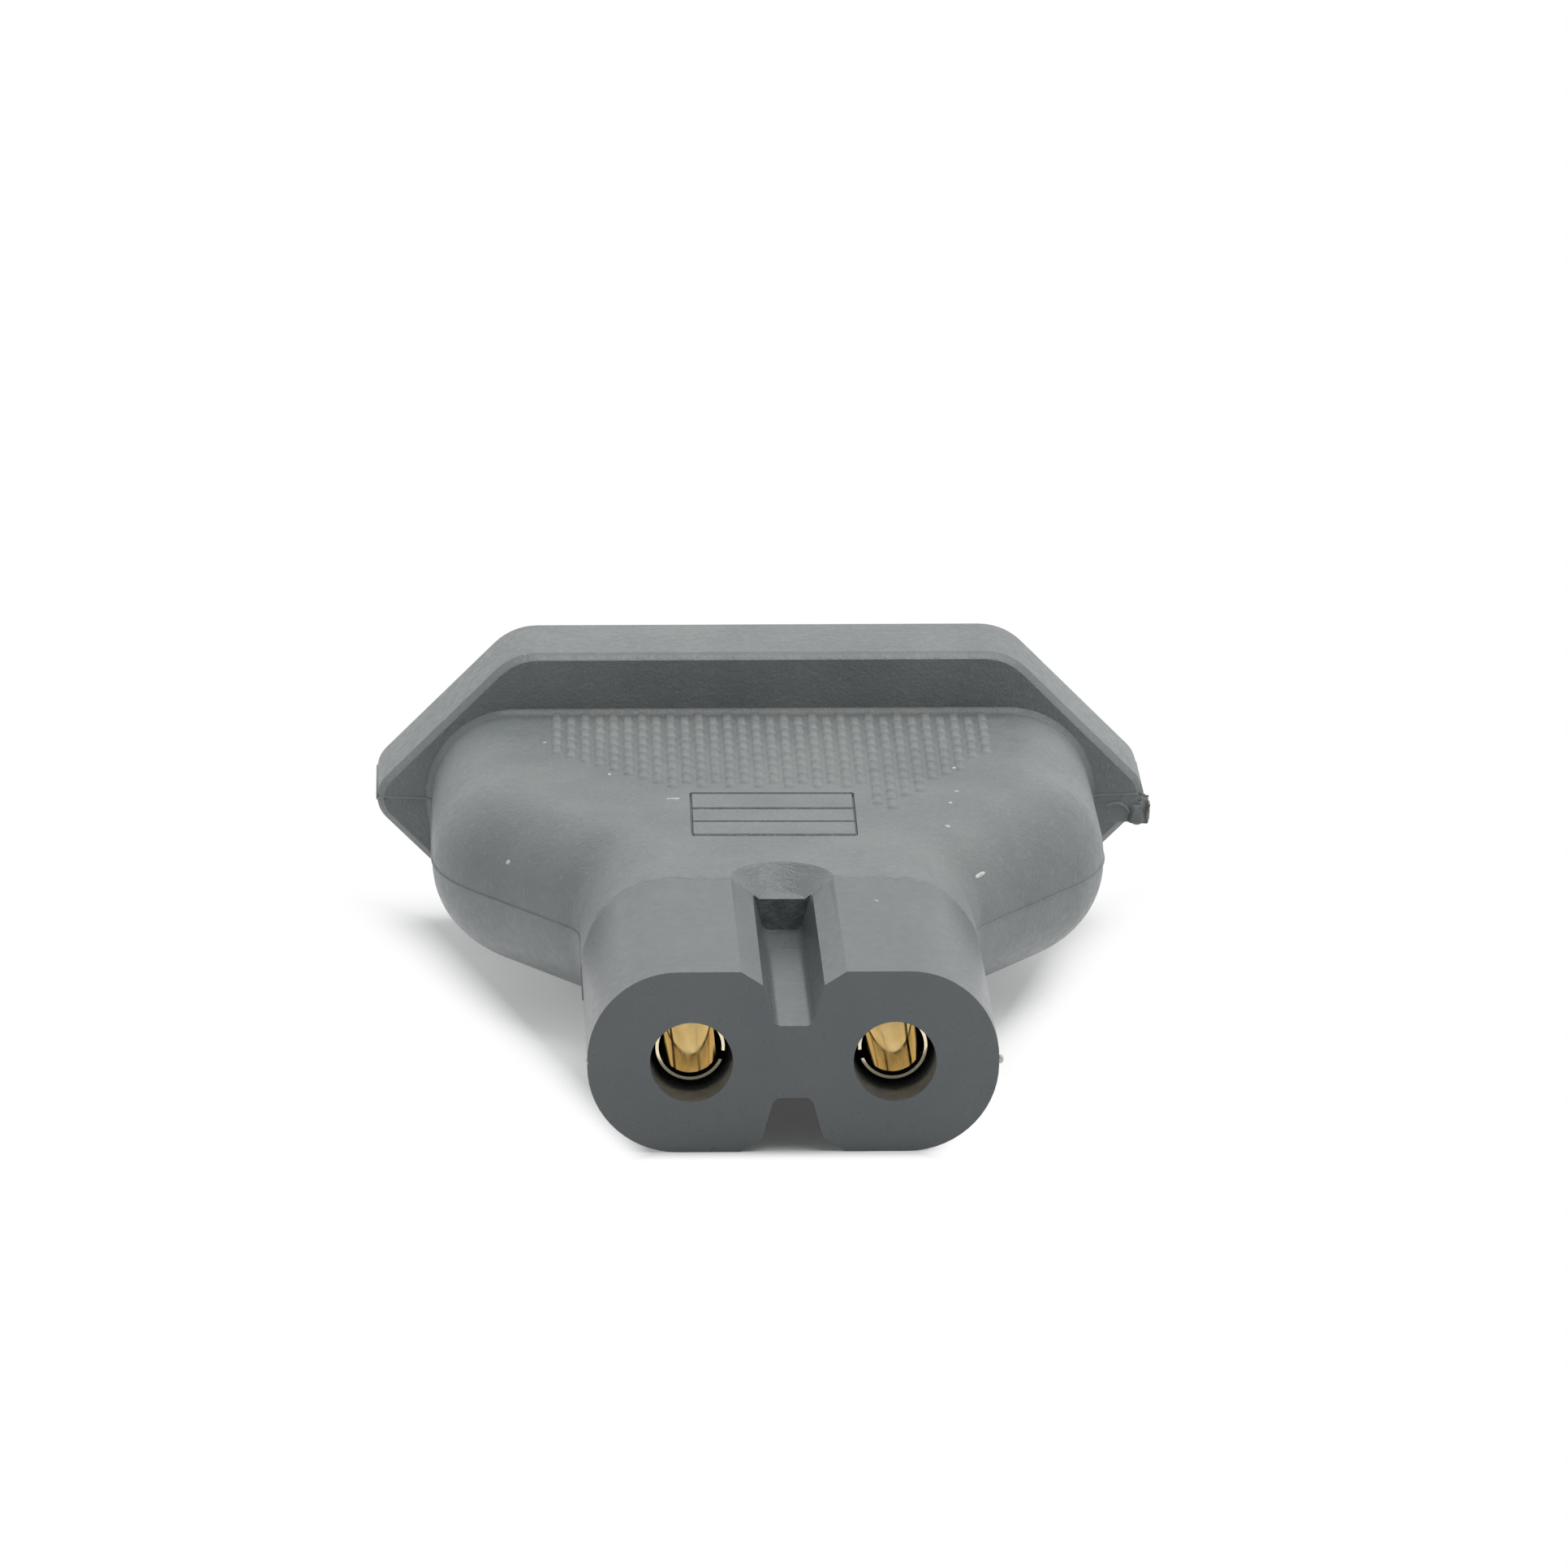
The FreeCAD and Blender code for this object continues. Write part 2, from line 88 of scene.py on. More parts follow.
# The shadow on the table, in millimetres, partly painted: outside a fan that widens behind the nose the
# floor shows plain white, inside it the real shadow shows, lifted by a painted white share
SHADE_MIDDLE_X = -0.35
SHADE_NOSE_HALF_WIDTH = 6.3
SHADE_SPREAD = 0.245
SHADE_LENGTH = 38.0
SHADE_CORE = 0.06
SHADE_LIFT = 0.3
SHADE_SIDE_FADE = (0.76, 1.12)
SHADE_FRONT_FADE = (-1.5, 0.5)
SHADE_CORE_SPAN = (0.3, 0.7)
SHADE_END = 1.3 * SHADE_LENGTH

# Pale flecks caught in the surface: place across and along, length, width and turn in degrees
FLECKS = [
    (-11.8, -20.9, 0.26, 0.22, 0), (-4.43, -18.56, 0.66, 0.2, 4), (-10.02, -9.75, 0.2, 0.14, 20),
    (-7.17, -14.77, 0.14, 0.3, 0), (-5.53, -13.28, 0.2, 0.3, 30), (-0.39, -7.83, 0.22, 0.26, 0),
    (8.43, -14.01, 0.3, 0.26, 15), (8.3, -17.65, 0.22, 0.16, 0), (7.92, -19.38, 0.18, 0.22, 0),
    (7.65, -22.4, 0.26, 0.24, 30), (3.94, -33.79, 0.3, 0.1, 120), (9.0, -24.2, 0.8, 0.2, 59),
]
FLECK_HEIGHT = 0.03 * MM
FLECK_GRAIN = 0.1 * MM
FLECK_DENTS = 0.03 * MM

# Torn stub of the moulding gate on the flange's right tip, and the ridge that runs into it
TEAR_MIDDLE = (17.46 * MM, -4.45 * MM, -0.92 * MM)
TEAR_SIZE = (1.05 * MM, 1.9 * MM, 1.05 * MM)
TEAR_BROWN_X = 17.62
TEAR_CUTS = 9
TEAR_SMOOTHING = 14
TEAR_ROUGHNESS = 0.3 * MM
TEAR_GRAIN = 0.3 * MM
WHISKER = [(17.5, -5.0, 0.02), (17.68, -5.12, 0.0), (17.8, -5.16, -0.1), (17.9, -5.2, -0.06)]
WHISKER_RADIUS = 0.055 * MM
GATE_RIDGE = [(15.95, -0.5), (16.3, -0.36), (16.68, -0.42), (16.95, -0.66), (17.1, -1.02)]
GATE_RIDGE_RADIUS = 0.09 * MM

# Nubs of flash at the front ends of the parting line
NUB_RIGHT = (8.76 * MM, -43.48 * MM, 0.05 * MM)
NUB_LEFT = (-8.7 * MM, -43.5 * MM, 0.05 * MM)
NUB_SIZE = (0.26 * MM, 0.3 * MM, 0.42 * MM)
NUB_LEFT_SHARE = 0.7
NUB_GRAIN = 0.15 * MM
NUB_DENTS = 0.08 * MM

# Closed inner ends of the rolled contacts
CONTACT_HALF_PITCH = 4.3 * MM
PINCH_START_Y = -31.6 * MM
PINCH_RADIUS = 1.19 * MM
PINCH_DEPTH = 0.03 * MM
PINCH_SIDES = 32
PINCH_INSET = 0.35 * PINCH_RADIUS
PINCH_NARROWED = 0.7
PINCH_SHEET = 0.12 * MM

# Angles past which an edge stays crisp
SKIN_CRISP_ANGLE = math.radians(28)
PINCH_CRISP_ANGLE = math.radians(25)

# Where the polished nose turns into the spark-eroded grip, in millimetres along the part
ERODED_FROM_Y = -29.9
ERODED_FULL_Y = -29.2
ERODED_RAGGED = 1.6

# Finishes, each as its two extremes
NOSE_DARK = (0.118, 0.132, 0.139)
NOSE_LIGHT = (0.131, 0.145, 0.150)
GRIP_DARK = (0.186, 0.204, 0.208)
GRIP_LIGHT = (0.226, 0.240, 0.239)
# Pale used for the painted light on the underside of the grip.
UNDERSIDE_LIGHT_PALE = (0.5, 0.53, 0.54)
# Pale used for the painted highlight on the stud crowns and the painted glints on the grip.
PAINTED_HIGHLIGHT_PALE = (0.46, 0.47, 0.46)
TORN_GREY = (0.20, 0.215, 0.22)
TORN_BROWN = (0.075, 0.058, 0.05)
FLASH_DULL = (0.50, 0.51, 0.50)
FLASH_BRIGHT = (0.78, 0.78, 0.76)
BRASS_CLEAN = (0.88, 0.78, 0.56)
BRASS_TARNISHED = (0.82, 0.71, 0.49)
NICKEL_PLATE = (0.52, 0.52, 0.505)
NICKEL_RUBBED = (0.46, 0.455, 0.43)
INSULATION_BLACK = (0.022, 0.024, 0.025)
INSULATION_SCUFFED = (0.075, 0.078, 0.078)
COPPER_BRIGHT = (0.72, 0.36, 0.22)
COPPER_PATINA = (0.50, 0.23, 0.14)

# Table, room, lamp and camera
FLOOR_SIZE = 3.0
FLOOR_COLOUR = (0.93, 0.93, 0.93, 1)
PLAIN_WHITE = (1, 1, 1, 1)
ROOM_TINT = (0.95, 0.985, 1, 1)
ROOM_FRONT_LEVEL = 0.06
ROOM_BACK_LEVEL = 0.64
LAMP_PLACE = (0.18, 0.05, 0.8)
LAMP_AIM = (0, -0.02, 0)
LAMP_WIDTH = 0.9
LAMP_DEPTH = 0.7
LAMP_WATTS = 5.0
LAMP_TINT = (1, 0.99, 0.975)
CAMERA_PLACE = (-15.681 * MM, -421.088 * MM, 126.883 * MM)
CAMERA_TURN = math.radians(-2.306)
CAMERA_TIP = math.radians(90 - 16.878)
CAMERA_ROLL = math.radians(0.402)
CAMERA_LENS = 216.81
CAMERA_SENSOR = 36.0


def only(piece):
    """Leaves one object selected and active."""
    bpy.ops.object.select_all(action="DESELECT")
    piece.select_set(True)
    bpy.context.view_layer.objects.active = piece


def edit(piece, chosen="VERT"):
    """Opens a piece in edit mode."""
    only(piece)
    bpy.ops.object.mode_set(mode="EDIT")
    bpy.ops.mesh.select_mode(type=chosen)


def leave():
    """Goes back to object mode."""
    bpy.ops.object.mode_set(mode="OBJECT")


def select_faces(piece, test):
    """Selects the faces whose centre and normal pass a test, and nothing else."""
    edit(piece, "FACE")
    bpy.ops.mesh.select_all(action="DESELECT")
    leave()
    for face in piece.data.polygons:
        face.select = test(face.center, face.normal)
    bpy.ops.object.mode_set(mode="EDIT")


def select_points(piece, test):
    """Selects the points whose place passes a test, and nothing else."""
    edit(piece, "VERT")
    bpy.ops.mesh.select_all(action="DESELECT")
    leave()
    for point in piece.data.vertices:
        point.select = test(point.co)
    bpy.ops.object.mode_set(mode="EDIT")


def select_edges(piece, test):
    """Selects the edges whose two ends both pass a test, and nothing else."""
    edit(piece, "EDGE")
    bpy.ops.mesh.select_all(action="DESELECT")
    leave()
    points = piece.data.vertices
    for line in piece.data.edges:
        line.select = all(test(points[i].co) for i in line.vertices)
    bpy.ops.object.mode_set(mode="EDIT")


def apply_modifiers(piece):
    """Works all of a piece's modifiers into its mesh."""
    only(piece)
    for modifier in list(piece.modifiers):
        bpy.ops.object.modifier_apply(modifier=modifier.name)


def settle(piece):
    """Puts a piece's place, turn and scale into its mesh."""
    only(piece)
    bpy.ops.object.transform_apply(location=True, rotation=True, scale=True)


def merged(piece):
    """Joins doubled points and turns the faces outwards."""
    edit(piece)
    bpy.ops.mesh.select_all(action="SELECT")
    bpy.ops.mesh.remove_doubles(threshold=1e-7)
    bpy.ops.mesh.normals_make_consistent(inside=False)
    leave()


def joined(pieces, name):
    """One object out of several."""
    bpy.ops.object.select_all(action="DESELECT")
    for piece in pieces:
        piece.select_set(True)
    bpy.context.view_layer.objects.active = pieces[0]
    if len(pieces) > 1:
        bpy.ops.object.join()
    whole = bpy.context.view_layer.objects.active
    whole.name = name
    whole.data.name = name
    return whole


def block(name, low, high):
    """A box between two corners, to be shaped further."""
    bpy.ops.object.select_all(action="DESELECT")
    middle = [(a + b) / 2 for a, b in zip(low, high)]
    bpy.ops.mesh.primitive_cube_add(size=1, location=middle)
    made = bpy.context.view_layer.objects.active
    made.name = name
    made.scale = [b - a for a, b in zip(low, high)]
    settle(made)
    return made


def copy_of(piece, name):
    """A copy with a mesh of its own."""
    only(piece)
    bpy.ops.object.duplicate()
    made = bpy.context.view_layer.objects.active
    made.name = name
    made.data.name = name
    if made.data.has_custom_normals:
        bpy.ops.mesh.customdata_custom_splitnormals_clear()
    return made


def fit_out(piece, material):
    """Gives a piece its finish and the body it rides on."""
    piece.data.materials.clear()
    piece.data.materials.append(material)
    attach(piece, "root")
    return piece


def node(tree, kind, **settings):
    """Adds a shader node and sets its options."""
    made = tree.nodes.new(kind)
    for name, value in settings.items():
        setattr(made, name, value)
    return made


def wire(tree, source, target):
    """Links one socket to another."""
    tree.links.new(source, target)


def new_material(name):
    """A fresh material with its tree and its main shader."""
    material = bpy.data.materials.new(name)
    material.use_nodes = True
    tree = material.node_tree
    return material, tree, tree.nodes["Principled BSDF"]


def place_mm(tree, stretch=(1, 1, 1)):
    """Object coordinates in millimetres, stretched per axis."""
    place = node(tree, "ShaderNodeTexCoord")
    mapping = node(tree, "ShaderNodeMapping")
    mapping.inputs["Scale"].default_value = [1000 * s for s in stretch]
    wire(tree, place.outputs["Object"], mapping.inputs["Vector"])
    return mapping.outputs["Vector"]


def noise(tree, vector, scale, detail=2.0, roughness=0.5):
    """A cloudy value, its scale counted per millimetre."""
    made = node(tree, "ShaderNodeTexNoise")
    made.inputs["Scale"].default_value = scale
    made.inputs["Detail"].default_value = detail
    made.inputs["Roughness"].default_value = roughness
    wire(tree, vector, made.inputs["Vector"])
    return made.outputs["Fac"]


def graded(tree, value, low, high, new_low, new_high):
    """Moves a value from one range to another, held at the ends."""
    made = node(tree, "ShaderNodeMapRange", interpolation_type="SMOOTHSTEP")
    for name, number in (("From Min", low), ("From Max", high), ("To Min", new_low), ("To Max", new_high)):
        made.inputs[name].default_value = number
    wire(tree, value, made.inputs["Value"])
    return made.outputs["Result"]


def sum_of(tree, first, second, operation="ADD"):
    """Two values worked together; either may be a plain number."""
    made = node(tree, "ShaderNodeMath", operation=operation)
    for socket, value in zip(made.inputs, (first, second)):
        if isinstance(value, (int, float)):
            socket.default_value = value
        else:
            wire(tree, value, socket)
    return made.outputs["Value"]


def mixed_colour(tree, share, first, second):
    """Two colours mixed by a share; either may be a socket."""
    made = node(tree, "ShaderNodeMix", data_type="RGBA")
    wire(tree, share, made.inputs["Factor"])
    for socket, value in ((made.inputs[6], first), (made.inputs[7], second)):
        if isinstance(value, tuple):
            socket.default_value = (*value, 1)
        else:
            wire(tree, value, socket)
    return made.outputs[2]


def bumped(tree, height, strength, depth, shader):
    """Gives a shader a fine relief."""
    made = node(tree, "ShaderNodeBump")
    made.inputs["Strength"].default_value = strength
    made.inputs["Distance"].default_value = depth
    wire(tree, height, made.inputs["Height"])
    wire(tree, made.outputs["Normal"], shader.inputs["Normal"])


def moulded_plastic():
    """Grey-black moulded plastic: spark-eroded grain on the grip, smoother nose."""
    material, tree, shader = new_material("moulded_plastic")
    place = place_mm(tree)
    axes = node(tree, "ShaderNodeSeparateXYZ")
    wire(tree, place, axes.inputs["Vector"])
    ragged = sum_of(tree, noise(tree, place, 1.6, 3.0), ERODED_RAGGED, "MULTIPLY")
    along = sum_of(tree, axes.outputs["Y"], ragged)
    rough_zone = graded(tree, along, ERODED_FROM_Y, ERODED_FULL_Y, 0.0, 1.0)
    fine_grain = noise(tree, place, 7.0, 2.0, 0.6)
    coarse_grain = noise(tree, place, 2.6, 2.0, 0.5)
    relief = sum_of(tree, fine_grain, sum_of(tree, coarse_grain, 0.7, "MULTIPLY"))
    height = sum_of(tree, relief, rough_zone, "MULTIPLY")
    mottle = graded(tree, noise(tree, place, 0.22, 3.0, 0.6), 0.3, 0.7, 0.0, 1.0)
    polished = mixed_colour(tree, mottle, NOSE_DARK, NOSE_LIGHT)
    eroded = mixed_colour(tree, mottle, GRIP_DARK, GRIP_LIGHT)
    upper_half = mixed_colour(tree, rough_zone, polished, eroded)
    flange_y = FLANGE_FRONT_Y / MM
    before_flange = graded(tree, axes.outputs["Y"], flange_y - 0.08, flange_y - 0.04, 1.0, 0.0)
    on_grip = sum_of(tree, rough_zone, before_flange, "MULTIPLY")
    # Painted light: the grip is paler below the parting plane, standing in for light from the white table
    # under it.
    lower_half = graded(tree, axes.outputs["Z"], -0.08, 0.0, 0.1, 0.0)
    painted_underside_light = sum_of(tree, lower_half, on_grip, "MULTIPLY")
    mottle_and_underside_light = mixed_colour(tree, painted_underside_light, upper_half, UNDERSIDE_LIGHT_PALE)
    # Painted glints: pale spots sprinkled over the eroded grip stand in for glints of light off its grain.
    glint = node(tree, "ShaderNodeTexVoronoi")
    glint.inputs["Scale"].default_value = 3.6
    wire(tree, place, glint.inputs["Vector"])
    spark = graded(tree, glint.outputs["Distance"], 0.12, 0.5, 1.0, 0.0)
    pick = node(tree, "ShaderNodeSeparateColor")
    wire(tree, glint.outputs["Color"], pick.inputs["Color"])
    chosen = graded(tree, pick.outputs[0], 0.45, 1.0, 0.0, 0.14)
    painted_glints = sum_of(tree, sum_of(tree, spark, chosen, "MULTIPLY"), rough_zone, "MULTIPLY")
    # Painted highlight: whatever stands above the grip's top, chiefly the stud crowns, is paled, more
    # towards the back rows.
    height_off = sum_of(tree, axes.outputs["Z"], 0.0, "ABSOLUTE")
    crown_low = (TOP_Z + 0.4 * STUD_HEIGHT) / MM
    crown_high = (TOP_Z + 0.95 * STUD_HEIGHT) / MM
    on_crown = graded(tree, height_off, crown_low, crown_high, 0.0, 0.5)
    toward_back = graded(tree, axes.outputs["Y"], -16.0, -7.0, 0.3, 1.0)
    wear_and_highlight = sum_of(tree, on_crown, toward_back, "MULTIPLY")
    painted_crown_highlight = sum_of(tree, sum_of(tree, wear_and_highlight, before_flange, "MULTIPLY"), fine_grain, "MULTIPLY")
    pale = sum_of(tree, painted_glints, painted_crown_highlight, "MAXIMUM")
    # The painted glints and the painted crown highlight both pale the colour here.
    colour = mixed_colour(tree, pale, mottle_and_underside_light, PAINTED_HIGHLIGHT_PALE)
    wire(tree, colour, shader.inputs["Base Color"])
    smooth_sheen = graded(tree, coarse_grain, 0.3, 0.7, 0.27, 0.34)
    rough_sheen = graded(tree, coarse_grain, 0.3, 0.7, 0.37, 0.5)
    sheen_gap = sum_of(tree, rough_sheen, smooth_sheen, "SUBTRACT")
    sheen = sum_of(tree, smooth_sheen, sum_of(tree, sheen_gap, rough_zone, "MULTIPLY"))
    wire(tree, sheen, shader.inputs["Roughness"])
    bumped(tree, height, 0.8, 0.05 * MM, shader)
    return material


def torn_plastic():
    """Plastic browned at the end where the gate was torn off."""
    material, tree, shader = new_material("torn_plastic")
    place = place_mm(tree)
    patches = noise(tree, place, 1.5, 3.0, 0.6)
    axes = node(tree, "ShaderNodeSeparateXYZ")
    wire(tree, place, axes.inputs["Vector"])
    at_end = graded(tree, axes.outputs["X"], TEAR_BROWN_X, TEAR_BROWN_X + 0.2, 0.0, 1.0)
    browned = sum_of(tree, at_end, graded(tree, patches, 0.35, 0.55, 0.0, 1.0), "MULTIPLY")
    colour = mixed_colour(tree, browned, TORN_GREY, TORN_BROWN)
    wire(tree, colour, shader.inputs["Base Color"])
    wire(tree, graded(tree, patches, 0.3, 0.7, 0.6, 0.85), shader.inputs["Roughness"])
    bumped(tree, noise(tree, place, 9.0, 2.0), 0.6, 0.05 * MM, shader)
    return material


def pale_flash():
    """Thin flash and flecks, pale where the light comes through."""
    material, tree, shader = new_material("pale_flash")
    place = place_mm(tree)
    patches = noise(tree, place, 3.0, 2.0, 0.6)
    share = graded(tree, patches, 0.3, 0.7, 0.0, 1.0)
    colour = mixed_colour(tree, share, FLASH_DULL, FLASH_BRIGHT)
    wire(tree, colour, shader.inputs["Base Color"])
    wire(tree, graded(tree, patches, 0.3, 0.7, 0.35, 0.55), shader.inputs["Roughness"])
    bumped(tree, patches, 0.3, 0.02 * MM, shader)
    return material


def contact_brass():
    """Rolled brass sheet, drawn along the sleeve and a little tarnished."""
    material, tree, shader = new_material("contact_brass")
    place = place_mm(tree)
    streaks = noise(tree, place_mm(tree, (1, 0.06, 1)), 5.0, 3.0, 0.6)
    tarnish = noise(tree, place, 0.9, 3.0, 0.6)
    share = graded(tree, tarnish, 0.35, 0.7, 0.0, 1.0)
    colour = mixed_colour(tree, share, BRASS_CLEAN, BRASS_TARNISHED)
    wire(tree, colour, shader.inputs["Base Color"])
    shader.inputs["Metallic"].default_value = 1.0
    wire(tree, graded(tree, streaks, 0.3, 0.7, 0.05, 0.12), shader.inputs["Roughness"])
    bumped(tree, streaks, 0.05, 0.004 * MM, shader)
    return material


def pin_nickel():
    """Nickel-plated brass pins with fine turning rings and a few patches of wear."""
    material, tree, shader = new_material("pin_nickel")
    place = place_mm(tree)
    rings = noise(tree, place_mm(tree, (0.05, 1, 0.05)), 9.0, 2.0, 0.6)
    wear_and_highlight = noise(tree, place, 0.6, 3.0, 0.6)
    share = graded(tree, wear_and_highlight, 0.4, 0.7, 0.0, 1.0)
    colour = mixed_colour(tree, share, NICKEL_PLATE, NICKEL_RUBBED)
    wire(tree, colour, shader.inputs["Base Color"])
    shader.inputs["Metallic"].default_value = 1.0
    wire(tree, graded(tree, rings, 0.3, 0.7, 0.18, 0.32), shader.inputs["Roughness"])
    bumped(tree, rings, 0.25, 0.01 * MM, shader)
    return material


def pin_insulation():
    """Black insulating sleeves, faintly scuffed."""
    material, tree, shader = new_material("pin_insulation")
    place = place_mm(tree)
    scuff = noise(tree, place_mm(tree, (1, 0.12, 1)), 2.2, 3.0, 0.6)
    grain = noise(tree, place, 6.0, 2.0)
    share = graded(tree, scuff, 0.5, 0.75, 0.0, 1.0)
    colour = mixed_colour(tree, share, INSULATION_BLACK, INSULATION_SCUFFED)
    wire(tree, colour, shader.inputs["Base Color"])
    wire(tree, graded(tree, scuff, 0.3, 0.7, 0.32, 0.5), shader.inputs["Roughness"])
    bumped(tree, grain, 0.25, 0.015 * MM, shader)
    return material


def lead_copper():
    """Drawn copper wire with die lines along it."""
    material, tree, shader = new_material("lead_copper")
    lines = noise(tree, place_mm(tree, (1, 0.08, 1)), 8.0, 2.0)
    patina = noise(tree, place_mm(tree), 0.8, 3.0)
    share = graded(tree, patina, 0.35, 0.7, 0.0, 1.0)
    colour = mixed_colour(tree, share, COPPER_BRIGHT, COPPER_PATINA)
    wire(tree, colour, shader.inputs["Base Color"])
    shader.inputs["Metallic"].default_value = 1.0
    wire(tree, graded(tree, lines, 0.3, 0.7, 0.25, 0.42), shader.inputs["Roughness"])
    bumped(tree, lines, 0.25, 0.01 * MM, shader)
    return material


def turned_about(piece, middle):
    """Turns a piece's mesh in plan by the insert's small turn."""
    askew = Matrix.Rotation(INSERT_TURN, 4, "Z")
    middle = Vector(middle)
    piece.data.transform(Matrix.Translation(middle) @ askew @ Matrix.Translation(-middle))


def label_cutter():
    """The ruled lines of the bare label window, as bars to cut with."""
    low_z = TOP_Z - LABEL_LINE_DEPTH
    high_z = TOP_Z + LABEL_LINE_DEPTH
    bars = []
    for y, width in zip(LABEL_LINES_Y, LABEL_LINES_WIDTH):
        low = (LABEL_LEFT_X, y - width / 2, low_z)
        bars.append(block("label_line", low, (LABEL_RIGHT_X, y + width / 2, high_z)))
    half = LABEL_SIDE_WIDTH / 2
    for x in (LABEL_LEFT_X, LABEL_RIGHT_X):
        low = (x - half, LABEL_LINES_Y[0], low_z)
        bars.append(block("label_side", low, (x + half, LABEL_LINES_Y[-1], high_z)))
    middle_x = (LABEL_LEFT_X + LABEL_RIGHT_X) / 2
    middle_y = (LABEL_LINES_Y[0] + LABEL_LINES_Y[-1]) / 2
    for bar in bars:
        long_way = bar.dimensions.x > bar.dimensions.y
        narrowed = (1, LABEL_LINE_FLOOR, 1) if long_way else (LABEL_LINE_FLOOR, 1, 1)
        select_faces(bar, lambda centre, normal: normal.z < -0.9)
        bpy.ops.transform.resize(value=narrowed)
        leave()
        turned_about(bar, (middle_x, middle_y, 0))
    return bars


def on_flange_rim(place):
    """True on the back edge of the small bevel round the flange's front."""
    front = FLANGE_FRONT_Y + 0.9 * FLANGE_CHAMFER < place.y < FLANGE_FRONT_Y + 1.1 * FLANGE_CHAMFER
    rim = abs(place.x) + FLANGE_SLANT * abs(place.z) > FLANGE_RIM_REACH or abs(place.z) > FLANGE_RIM_Z
    return front and rim


def moulded_skin(material):
    """The moulded body as packed, with the label window's lines sunk into it."""
    skin = copy_of(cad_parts["moulded_body"], "moulded_skin")
    merged(skin)
    for bar in label_cutter():
        cut = skin.modifiers.new("label", "BOOLEAN")
        cut.operation = "DIFFERENCE"
        cut.solver = "EXACT"
        cut.object = bar
        apply_modifiers(skin)
        bpy.data.objects.remove(bar)
    only(skin)
    bpy.ops.object.shade_smooth_by_angle(angle=SKIN_CRISP_ANGLE)
    select_edges(skin, on_flange_rim)
    bpy.ops.mesh.mark_sharp(clear=True)
    leave()
    weigh = skin.modifiers.new("even", "WEIGHTED_NORMAL")
    weigh.keep_sharp = True
    apply_modifiers(skin)
    fit_out(skin, material)
    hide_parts("moulded_body")
    return skin


def edge_x(edge, y):
    """How far across a slanting edge of the stud field is, straight back past its back end."""
    (back_x, back_y), (front_x, front_y) = edge
    share = min(max((back_y - y) / (back_y - front_y), 0), 1)
    return back_x + share * (front_x - back_x)


def in_stud_field(x, y):
    """True where the grip carries studs: a field that narrows towards the label window."""
    front = y - STUD_LENGTH / 2
    if front < LABEL_LINES_Y[-1] + LABEL_SIDE_WIDTH and LABEL_LEFT_X < x < LABEL_RIGHT_X + STUD_WIDTH:
        return False
    if front < STUD_EDGE_RIGHT[1][1] or (x < 0 and front < STUD_EDGE_LEFT[1][1]):
        return False
    return edge_x(STUD_EDGE_LEFT, front) <= x <= edge_x(STUD_EDGE_RIGHT, front)


def one_stud(x, y):
    """A small hipped mound, its foot sunk a little into the face."""
    low = (x - STUD_WIDTH / 2, y - STUD_LENGTH / 2, TOP_Z - STUD_SINK)
    high = (x + STUD_WIDTH / 2, y + STUD_LENGTH / 2, TOP_Z + STUD_HEIGHT)
    stud = block("stud", low, high)
    select_faces(stud, lambda centre, normal: normal.z > 0.9)
    bpy.ops.transform.resize(value=(STUD_CROWN_WIDTH, STUD_CROWN_LENGTH, 1))
    leave()
    select_faces(stud, lambda centre, normal: normal.z < -0.9)
    bpy.ops.mesh.delete(type="FACE")
    leave()
    return stud


def stud_field(name, material):
    """Staggered columns of studs, cut back to the field's outline."""
    sets = []
    for offset in (0, 1):
        x = STUD_FIELD_LEFT_X + offset * STUD_COLUMN_STEP
        y = STUD_FIELD_BACK_Y - offset * STUD_ROW_STEP / 2
        stud = one_stud(x, y)
        corners = len(stud.data.vertices)
        columns = (STUD_COLUMNS + 1) // 2
        for count, step in ((STUD_ROWS, (0, -STUD_ROW_STEP, 0)), (columns, (2 * STUD_COLUMN_STEP, 0, 0))):
            rows = stud.modifiers.new("repeat", "ARRAY")
            rows.use_relative_offset = False
            rows.use_constant_offset = True
            rows.count = count
            rows.constant_offset_displace = step
        apply_modifiers(stud)
        points = stud.data.vertices
        kept = []
        for first in range(0, len(points), corners):
            own = [points[i].co for i in range(first, first + corners)]
            middle = sum(own, Vector()) / corners
            kept += [in_stud_field(middle.x, middle.y)] * corners
        edit(stud)
        bpy.ops.mesh.select_all(action="DESELECT")
        leave()
        for point, keep in zip(points, kept):
            point.select = not keep
        bpy.ops.object.mode_set(mode="EDIT")
        bpy.ops.mesh.delete(type="VERT")
        leave()
        sets.append(stud)
    field = joined(sets, name)
    turned_about(field, STUD_FIELD_MIDDLE)
    only(field)
    bpy.ops.object.shade_smooth()
    return fit_out(field, material)


def parting_bead(material):
    """The thin flash along the parting plane, on both sides of the body."""
    bead = copy_of(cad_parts["moulded_body"], "parting_bead")
    merged(bead)
    edit(bead)
    bpy.ops.mesh.select_all(action="SELECT")
    bpy.ops.mesh.bisect(plane_co=(0, 0, 0), plane_no=(0, 0, 1), clear_inner=True, clear_outer=True)
    leave()
    nose_end = NOSE_FACE_Y + BEAD_END_GAP
    inside = NOSE_HALF_WIDTH - BEAD_SIDE_GAP
    select_points(bead, lambda p: abs(p.x) < inside or p.y < nose_end or p.y > -BEAD_END_GAP)
    bpy.ops.mesh.delete(type="VERT")
    leave()
    only(bead)
    bpy.ops.object.convert(target="CURVE")
    bead = bpy.context.view_layer.objects.active
    bead.data.bevel_depth = BEAD_RADIUS
    bead.data.bevel_resolution = 1
    bead.data.use_fill_caps = True
    only(bead)
    bpy.ops.object.convert(target="MESH")
    bead = bpy.context.view_layer.objects.active
    merged(bead)
    only(bead)
    bpy.ops.object.shade_smooth()
    return fit_out(bead, material)


